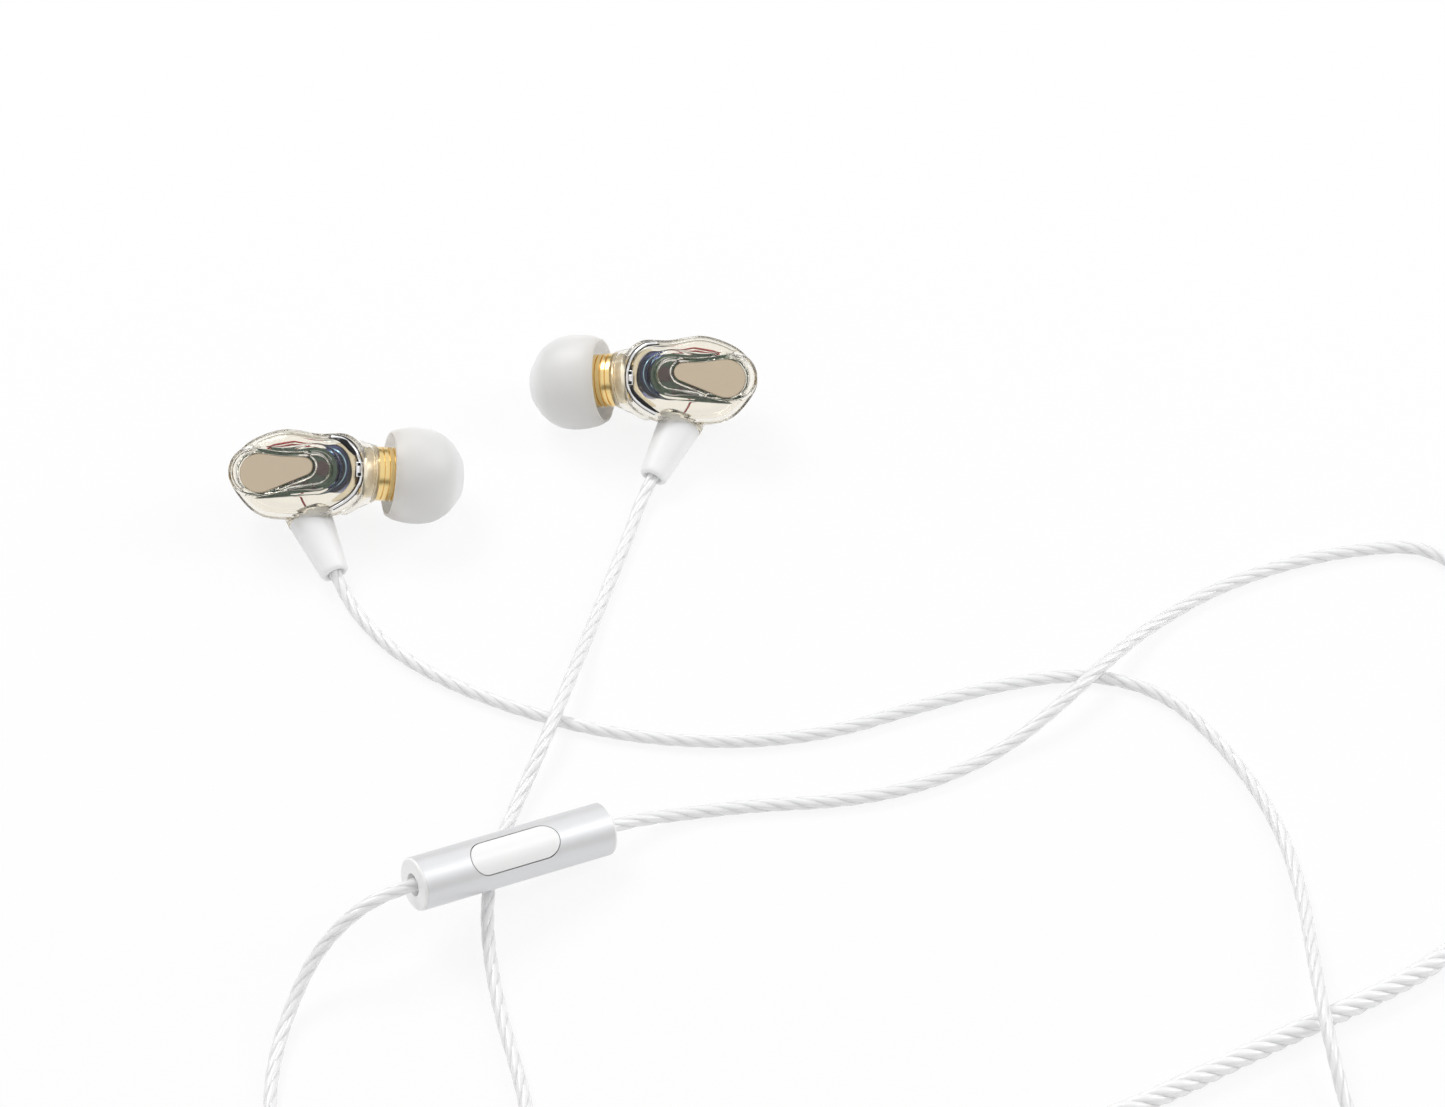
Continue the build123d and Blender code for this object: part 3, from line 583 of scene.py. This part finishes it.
def housing_solids():
    """The clear housing's outer form: body, raised rim, cone and collar."""
    outline = round_curve([Vector(p) for p in BODY_OUTLINE])
    rings = []
    for k in range(9):
        turn = pi / 2 * k / 8
        by = UNDER_ROUND * (1 - sin(turn))
        rings.append(flat(inset(outline, by), UNDER_W - UNDER_ROUND * cos(turn)))
    for by, w in LEDGES:
        rings.append(flat(inset(outline, by), w))
    body = lofted(rings)
    foot, top = teardrop(*RIM_FOOT, sag=0.5), teardrop(*RIM_TOP, sag=0.3)
    rim = lofted([
        flat(foot, 1.5), flat(foot, 2.8), flat(inset(foot, 0.13), 2.93),
        flat(inset(top, -0.06), 3.0), flat(top, 3.06), flat(top, 3.36),
        flat(inset(top, 0.14), 3.5),
    ])
    cone = lofted([
        circle(Vector(at), Vector((1, 0, 0)), r, r_two) for at, r, r_two in CONE
    ] + [circle(NECK_BASE, NECK_DIR, 3.65)])
    collar = lofted([
        circle(RELIEF_TOP - RELIEF_DIR * back, RELIEF_DIR, r)
        for back, r in ((2.0, 3.1), (0.25, 3.0))
    ])
    return body, rim, cone, collar


# --------------------------------------------------------------------- materials
COAT_ROUGH = 0.1


def finish_of(name, colour, rough=0.4, metal=0.0, clear=0.0, ior=1.5, coat=0.0, under=0.0,
              under_scale=0.001, grain=0.0, grain_size=0.5, vary=0.0, vary_size=3.0,
              rough_vary=0.0, specular=0.5):
    """A surface: its colour drifts by vary and its roughness by rough_vary over patches
    of vary_size mm, and grain mm of relief breaks it up at grain_size mm."""
    material, tree, shader = new_material(name)
    put = shader.inputs
    put["Base Color"].default_value = (*colour, 1)
    put["Roughness"].default_value = rough
    put["Metallic"].default_value = metal
    put["Transmission Weight"].default_value = clear
    put["IOR"].default_value = ior
    put["Coat Weight"].default_value = coat
    put["Coat Roughness"].default_value = COAT_ROUGH
    put["Subsurface Weight"].default_value = under
    put["Subsurface Scale"].default_value = under_scale
    put["Subsurface Radius"].default_value = (1, 1, 1)
    put["Specular IOR Level"].default_value = specular
    link = tree.links.new
    place = tree.nodes.new("ShaderNodeTexCoord")

    def patches(size, detail):
        it = tree.nodes.new("ShaderNodeTexNoise")
        it.inputs["Scale"].default_value = 1 / (size * MM)
        it.inputs["Detail"].default_value = detail
        link(place.outputs["Object"], it.inputs["Vector"])
        return it.outputs["Fac"]

    if vary or rough_vary:
        drift = patches(vary_size, 3)
    if vary:
        ramp = tree.nodes.new("ShaderNodeMix")
        ramp.data_type = "RGBA"
        ramp.inputs["A"].default_value = (*[c * (1 - vary) for c in colour], 1)
        ramp.inputs["B"].default_value = (*[min(1, c * (1 + vary)) for c in colour], 1)
        link(drift, ramp.inputs["Factor"])
        link(ramp.outputs["Result"], put["Base Color"])
    if rough_vary:
        spread = tree.nodes.new("ShaderNodeMapRange")
        spread.inputs["To Min"].default_value = max(0, rough - rough_vary)
        spread.inputs["To Max"].default_value = rough + rough_vary
        link(drift, spread.inputs["Value"])
        link(spread.outputs[0], put["Roughness"])
    if grain:
        relief = tree.nodes.new("ShaderNodeBump")
        relief.inputs["Strength"].default_value = 1.0
        relief.inputs["Distance"].default_value = grain * MM
        link(patches(grain_size, 2), relief.inputs["Height"])
        link(relief.outputs[0], put["Normal"])
    return material


CLEAR = finish_of("clear plastic", (0.95, 0.925, 0.865), rough=0.02, clear=1.0, ior=1.40,
                  vary=0.01, rough_vary=0.01)
# gold metal for the cone's liner, and for the painted gold reflection between driver and seam
LINER_AND_PAINTED_GLOW = finish_of("liner", (0.96, 0.86, 0.68), rough=0.32, metal=0.7, vary=0.06,
                  vary_size=1.2, rough_vary=0.05)
# sky-blue metal for a painted glint on the driver: a painted reflection, not a part of its own
# colour
PAINTED_GLINT_BLUE = finish_of("driver painted glint", (0.42, 0.66, 0.78), rough=0.12, metal=1.0, vary=0.15)
CHAMPAGNE = finish_of("champagne", (0.59, 0.49, 0.365), rough=0.42, metal=0.6, grain=0.004,
                      grain_size=0.12, vary=0.03, vary_size=1.5, rough_vary=0.05)
GOLD = finish_of("gold", (0.86, 0.65, 0.30), rough=0.2, metal=1.0, vary=0.05,
                 rough_vary=0.05, grain=0.002, grain_size=0.2)
MESH = finish_of("screen", (0.42, 0.40, 0.38), rough=0.35, metal=1.0, grain=0.02,
                 grain_size=0.15)
FOAM = finish_of("foam", (0.06, 0.06, 0.065), rough=0.95, grain=0.05, grain_size=0.2, vary=0.3,
                 vary_size=0.3)
SILICONE = finish_of("silicone", (0.96, 0.96, 0.96), rough=0.42, under=0.9,
                     under_scale=0.003, vary=0.01, rough_vary=0.05, grain=0.003,
                     grain_size=0.3)
CHROME = finish_of("chrome", (0.86, 0.86, 0.87), rough=0.06, metal=1.0, rough_vary=0.02,
                   vary=0.02)
# black for the gasket and the seam lines, and painted shade for the driver's dark rings, the
# latch notches and part of the seam crescents
SEAL_BLACK_AND_PAINTED_SHADE = finish_of("black seal and painted shade", (0.006, 0.006, 0.008), rough=0.2, vary=0.2,
                  rough_vary=0.05, specular=0.3)
NAVY = finish_of("driver rim", (0.10, 0.12, 0.33), rough=0.22, metal=1.0, vary=0.3,
                 vary_size=6, rough_vary=0.04)
FILM = finish_of("film", (0.10, 0.06, 0.08), rough=0.3, coat=0.4, vary=0.2)
COPPER = finish_of("copper", (0.70, 0.36, 0.20), rough=0.3, metal=1.0, grain=0.02,
                   grain_size=0.1, vary=0.1)
MAGNET = finish_of("magnet", (0.30, 0.30, 0.32), rough=0.25, metal=1.0, vary=0.05,
                   rough_vary=0.05)
BOARD = finish_of("board", (0.018, 0.075, 0.035), rough=0.35, coat=0.5, vary=0.3,
                  vary_size=0.8, rough_vary=0.08)
CHIP = finish_of("chips", (0.05, 0.02, 0.02), rough=0.35, vary=0.25, vary_size=0.6,
                 coat=0.3)
RED_WIRE = finish_of("red wire", (0.45, 0.02, 0.02), rough=0.25, coat=0.5, vary=0.2)
RELIEF = finish_of("relief", (0.95, 0.95, 0.95), rough=0.36, under=0.15, under_scale=0.001,
                   vary=0.01, rough_vary=0.06, grain=0.003, grain_size=0.25)
LEAD = finish_of("lead", (0.95, 0.95, 0.955), rough=0.25, under=0.3,
                 under_scale=0.0006, coat=0.5, vary=0.03, vary_size=1.2, rough_vary=0.06)
# silver metal for the silver parts, and for the painted highlights on the board
SILVER = finish_of("silver", (0.60, 0.61, 0.63), rough=0.32, metal=1.0, grain=0.004,
                   grain_size=0.15, vary=0.03, vary_size=1.0, rough_vary=0.05)
SLEEVE = finish_of("satin sleeve", (0.76, 0.765, 0.78), rough=0.46, metal=0.5, grain=0.003,
                   grain_size=0.12, vary=0.02, vary_size=1.0, rough_vary=0.04)
WHITE = finish_of("white plastic", (0.96, 0.96, 0.955), rough=0.3, under=0.1,
                  under_scale=0.001, vary=0.01, rough_vary=0.05, grain=0.002,
                  grain_size=0.3)
FINISHES = {
    "clear_shell": CLEAR, "satin_champagne": CHAMPAGNE, "gold_nozzle": GOLD,
    "steel_mesh": MESH, "foam": FOAM, "silicone": SILICONE, "chrome_trim": CHROME,
    "black_seal": SEAL_BLACK_AND_PAINTED_SHADE, "driver_metal": NAVY, "membrane": FILM, "copper_coil": COPPER,
    "magnet": MAGNET, "board_green": BOARD, "chips": CHIP, "wire_red": RED_WIRE,
    "white_relief": RELIEF, "lead_clear": LEAD, "satin_silver": SILVER,
    "white_plastic": WHITE, "plug_metal": GOLD, "tie_white": LEAD,
}
for entry in frame["record"]["subparts"]:
    solid = nodes[entry["node"]]
    if not solid.material_slots:
        solid.data.materials.append(None)
    for own in solid.material_slots:
        own.material = FINISHES[entry["material_slot"]]
nodes["remote_sleeve"].material_slots[0].material = SLEEVE
for piece, line, whole in cords.values():
    piece.data.materials.append(LEAD)

# ------------------------------------------------------------ the clear housings
POCKET_FLOOR, POCKET_GAP = 2.98, 0.1        # the faceplate's pocket: its w, room round it
SKIN_VOXEL, HOLLOW_VOXEL = 0.1, 0.14
WALL = 0.62


def is_inside(loop, u, v):
    """Whether a point lies within a closed loop."""
    odd = False
    for a, b in zip(loop, loop[1:] + loop[:1]):
        if (a.y > v) != (b.y > v) and u < a.x + (b.x - a.x) * (v - a.y) / (b.y - a.y):
            odd = not odd
    return odd


def recessed(skin):
    """The skin with a pocket for the faceplate in its raised rim."""
    big, big_r, small, small_r = PLATE
    pocket = teardrop(big, big_r + POCKET_GAP, small, small_r + POCKET_GAP, sag=0.12)
    verts = []
    for at in skin[0]:
        at = at.copy()
        if at.z > POCKET_FLOOR and is_inside(pocket, at.x, at.y):
            at.z = POCKET_FLOOR
        verts.append(at)
    return verts, skin[1]


SKIN = recessed(reshaped("skin", *joined(housing_solids()), voxel=SKIN_VOXEL, rounds=5))
HOLLOW = reshaped("hollow", *SKIN, voxel=HOLLOW_VOXEL, rounds=6, push=-WALL)
SKIN_TREE = BVHTree.FromPolygons(*SKIN)


def clear_housing(side):
    """One clear skin with its hollow, over the shells and the rear cover."""
    hollow = HOLLOW[0], [tuple(reversed(f)) for f in HOLLOW[1]]
    piece = ear_mesh(side + "_clear_housing", side, *joined([SKIN, hollow]))
    piece.data.materials.append(CLEAR)
    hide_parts(*(f"{side}_{n}" for n in ("front_shell", "rear_shell", "rear_cover")))


def on_skin(u, v):
    """The point of the skin straight over a place, and the way it faces there."""
    at, normal, _, _ = SKIN_TREE.ray_cast(Vector((u, v, 9)), Vector((0, 0, -1)))
    return at, normal


def open_curve(points, n):
    """Evenly spaced points of a smooth open curve; each point is (u, v, width)."""
    points = [Vector(p) for p in points]
    ends = [points[0] * 2 - points[1]] + points + [points[-1] * 2 - points[-2]]
    fine = []
    for k in range(len(points) - 1):
        fine += between(*ends[k:k + 4], 30)
    fine.append(points[-1])
    return [fine[round(k * (len(fine) - 1) / (n - 1))] for k in range(n)]


BAND_PARTS = (-0.5, -0.3, 0.0, 0.3, 0.5)    # places across a band, in its widths
THINNEST = 0.02


def inlay(name, side, points, lift, deep, crown=0.0, n=90):
    """A band let into the skin along a curve of (u, v, width). Its top stands lift over the
    skin, with crown more in the middle, and its foot is deep under it (mm)."""
    line = open_curve(points, n)
    verts, faces = [], []
    for k, at in enumerate(line):
        along = line[min(k + 1, n - 1)] - line[max(k - 1, 0)]
        square = Vector((-along.y, along.x)).normalized()
        top, low = [], []
        for part in BAND_PARTS:
            place = Vector((at.x, at.y)) + square * (part * max(THINNEST, at.z))
            hit, normal = on_skin(place.x, place.y)
            swell = crown * (1 - (2 * part) ** 2)
            top.append(hit + normal * (lift + swell))
            low.append(hit - normal * deep)
        verts += top + list(reversed(low))
    row = 2 * len(BAND_PARTS)
    for k in range(n - 1):
        for m in range(row):
            o = (m + 1) % row
            faces.append((k * row + m, k * row + o, (k + 1) * row + o, (k + 1) * row + m))
    faces += [tuple(reversed(range(row))), tuple((n - 1) * row + m for m in range(row))]
    return ear_mesh(name, side, verts, faces)


def lathe(name, side, start, way, profile, body="set"):
    """A turned piece round an axis; profile is (length along the axis, radius) in mm."""
    one, two = across(way)
    verts, faces = [], []
    for along, r in profile:
        for k in range(RING):
            turn = 2 * pi * k / RING
            verts.append(start + way * along + (one * cos(turn) + two * sin(turn)) * r)
    count = len(profile)
    for k in range(count):
        here, there = k * RING, (k + 1) % count * RING
        for m in range(RING):
            q = (m + 1) % RING
            faces.append((here + m, here + q, there + q, there + m))
    return ear_mesh(name, side, verts, faces, body=body)


def rounded(points, n):
    """A smooth open profile through the given (along, radius) points."""
    return [(p.x, p.y) for p in open_curve([(*q, 0) for q in points], n)]


# Lines on the skin, seen from above: (u, v), or (u, v, width).
SEAM = [
    (4.2, 5.0), (5.7, 4.78), (7.0, 3.9), (7.8, 2.6), (8.15, 1.2), (8.2, 0.0), (7.95, -1.2),
    (7.2, -2.4), (6.3, -3.25), (5.3, -3.9), (4.3, -4.45),
]
SEAM_W = 0.34
SEAM_LINES = (("outer", 0.24, 0.1), ("inner", -0.3, 0.14))  # how far off the seam, width
CRESCENTS = {                               # the dark seal, drawn only where it shows widest on each ear: partly the seal's own black, partly painted dark reflection
    "left": [(3.95, 5.1, 0.05), (4.7, 4.98, 0.5), (5.6, 4.65, 0.85), (6.45, 4.1, 1.1),
             (7.1, 3.3, 0.95), (7.45, 2.6, 0.35)],
    "right": [(7.7, -0.75, 0.3), (7.25, -1.8, 0.62), (6.5, -2.7, 0.8), (5.5, -3.45, 0.66),
              (4.5, -4.0, 0.3), (3.8, -4.3, 0.04)],
}
PAINTED_GLOW_BAND = [                                # a painted gold reflection between driver and seam, made as a metal band under the skin
    (4.9, 4.1, 0.2), (6.0, 3.7, 0.7), (6.9, 2.7, 0.9), (7.35, 1.2, 0.95), (7.4, 0.0, 0.95),
    (7.1, -1.2, 0.95), (6.3, -2.3, 0.9), (5.3, -3.0, 0.7), (4.4, -3.4, 0.2),
]
LATCH_AT = {"left": (8.0, 0.72), "right": (7.85, 0.35)}

# Profiles of turned pieces: (length along the axis, radius).
TIP_OUTER = [(1.8, 5.55), (3.2, 6.1), (5.7, 6.33), (8.0, 5.9), (9.7, 4.8), (10.7, 3.55),
             (11.2, 2.75), (11.36, 2.5)]
TIP_BORE = [(11.35, 2.3), (11.2, 2.15), (9.5, 2.15), (9.5, 2.78), (3.45, 2.78), (3.45, 3.45)]
TIP_INNER = [(8.9, 3.45), (9.2, 4.2), (8.0, 5.25), (5.7, 5.75), (3.2, 5.6), (1.85, 5.25)]
TIP_EDGE = [(1.74, 5.4)]
RELIEF_PIN = [(-0.2, 0.5), (-0.2, 1.3), (0.2, 1.3), (0.2, 2.7)]
RELIEF_OUTER = [(0.24, 2.82), (0.6, 2.86), (4.4, 2.4), (8.3, 1.93)]
RELIEF_END = [(8.55, 1.86), (8.72, 1.74), (8.79, 1.55), (8.78, 1.2), (8.2, 1.15), (8.2, 0.5)]
COLLAR = [(-0.5, 2.7), (-0.4, 2.92), (-0.1, 3.0), (0.12, 2.98), (0.18, 2.9), (0.18, 1.45),
          (-0.5, 1.45)]
CONE_LINING = [(-2.1, 3.3), (-1.5, 3.15), (-1.1, 3.2), (-0.6, 3.02), (-0.2, 3.0),
               (-0.05, 2.95), (-0.05, 2.86), (-2.1, 3.1)]
BOARD_TOP, BAR_W, BAR_HIGH = 1.95, 0.16, 0.14
BAR_SECTION = ((0, -1, 0), (0, -0.7, 0.8), (0, 0, 1), (0, 0.7, 0.8), (0, 1, 0), (0, 0, -0.3))


def latch(side):
    """The small catch where the housing's halves lock, at the nozzle side of the seam."""
    u, v = LATCH_AT[side]
    parts = (
        ("base", CHROME, "chrome_trim", (0.9, 1.9, 0.04, 0.05), 0),
        # the two notches are raised black marks of painted shade, not cut recesses
        ("high_notch_painted_shade", SEAL_BLACK_AND_PAINTED_SHADE, "black_seal", (0.62, 0.42, 0.07, 0.03), 0.66),
        ("low_notch_painted_shade", SEAL_BLACK_AND_PAINTED_SHADE, "black_seal", (0.62, 0.42, 0.07, 0.03), -0.66),
        ("stud", CHROME, "chrome_trim", (0.5, 0.6, 0.08, 0.10), 0),
    )
    for name, finish, slot_name, (wide, tall, lift, crown), up in parts:
        line = [(u, v + up + tall * t, wide) for t in (-0.5, -0.25, 0, 0.25, 0.5)]
        piece = inlay(f"{side}_latch_{name}", side, line, lift, 0.05, crown, n=20)
        piece.data.materials.append(finish)


def driver_rings(side):
    """Turned rings on the driver's back: a sky-blue metal ring as a painted glint, and black
    rings of painted shade at its edge and in its well.
    """
    for name, finish, slot_name, profile in (
        # the black edge ring and well ring are painted shade; the sky-blue ring between them is
        # a painted glint
        ("edge", SEAL_BLACK_AND_PAINTED_SHADE, "black_seal", [(0.3, 3.05), (0.44, 3.1), (0.44, 3.26), (0.3, 3.3)]),
        ("glint", PAINTED_GLINT_BLUE, "driver_metal", [(0.33, 2.35), (0.5, 2.42), (0.5, 2.58), (0.33, 2.66)]),
        ("painted_shade_well", SEAL_BLACK_AND_PAINTED_SHADE, "black_seal", [(0.34, 2.12), (0.42, 2.14), (0.42, 2.32), (0.34, 2.34)]),
    ):
        ring = lathe(f"{side}_driver_{name}", side, DRIVER_AT, DRIVER_UP, profile)
        ring.data.materials.append(finish)


def board_painted_highlights(side):
    """Painted highlights on the board, made as bright silver pieces: a rim round its round
    part, a can and two bars.
    """
    up = Vector((0, 0, 1))
    for name, place, profile in (
        ("rim", (3.1, 0.8, 1.9),
         [(0, 1.12), (0.5, 1.12), (0.62, 1.2), (0.5, 1.3), (0, 1.38)]),
        ("can", (3.6, -1.05, 1.9),
         [(0, 0.02), (0.55, 0.02), (0.55, 0.34), (0.4, 0.46), (0, 0.5)]),
    ):
        piece = lathe(f"{side}_board_{name}", side, Vector(place), up, profile)
        piece.data.materials.append(SILVER)
    for name, line in (
        ("upper_highlight_bar", [(1.7, 2.75), (2.6, 2.85), (3.6, 2.6), (4.3, 2.0)]),
        ("lower_highlight_bar", [(-2.6, -1.9), (-0.4, -1.75), (2.0, -1.95), (3.2, -1.75)]),
    ):
        rings = []
        for u, v in rounded(line, 40):
            rings.append([
                Vector((u + BAR_W * x, v + BAR_W * y, BOARD_TOP + BAR_HIGH * z))
                for x, y, z in BAR_SECTION
            ])
        piece = ear_mesh(f"{side}_board_{name}", side, *lofted(rings))
        piece.data.materials.append(SILVER)


for side in EARS:
    clear_housing(side)
    board_painted_highlights(side)
    seam = [(u, v, SEAM_W) for u, v in SEAM]
    bright = inlay(side + "_seam_ring", side, seam, 0.02, 0.1, 0.1)
    bright.data.materials.append(CHROME)
    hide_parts(side + "_trim_ring")
    dark = inlay(side + "_seam_shadow", side, CRESCENTS[side], 0.03, 0.1, 0.06)
    dark.data.materials.append(SEAL_BLACK_AND_PAINTED_SHADE)
    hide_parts(side + "_gasket")
    for name, by, wide in SEAM_LINES:
        beside = [(u + by, v * (1 + by * 0.12), wide) for u, v in SEAM]
        line = inlay(f"{side}_seam_{name}_line", side, beside, 0.01, 0.08)
        line.data.materials.append(SEAL_BLACK_AND_PAINTED_SHADE)
    # a metal band under the skin as painted gold reflection
    band = inlay(side + "_seam_painted_glow", side, PAINTED_GLOW_BAND, -0.72, 0.85)
    band.data.materials.append(LINER_AND_PAINTED_GLOW)
    cone = lathe(side + "_cone_liner", side, NECK_BASE, NECK_DIR, CONE_LINING)
    cone.data.materials.append(LINER_AND_PAINTED_GLOW)
    latch(side)
    driver_rings(side)

    tip = lathe(
        side + "_ear_tip_shape", side, NECK_BASE, NECK_DIR,
        rounded(TIP_OUTER, 60) + TIP_BORE + rounded(TIP_INNER, 40) + TIP_EDGE,
        body=side + "_tip",
    )
    tip.data.materials.append(SILICONE)
    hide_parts(side + "_ear_tip")

    relief = lathe(
        side + "_relief_shape", side, RELIEF_TOP, RELIEF_DIR,
        RELIEF_PIN + rounded(RELIEF_OUTER, 30) + RELIEF_END,
    )
    relief.data.materials.append(RELIEF)
    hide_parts(side + "_strain_relief")

    liner = lathe(side + "_collar_liner", side, RELIEF_TOP, RELIEF_DIR, COLLAR)
    liner.data.materials.append(CLEAR)
    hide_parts(side + "_cable_collar")
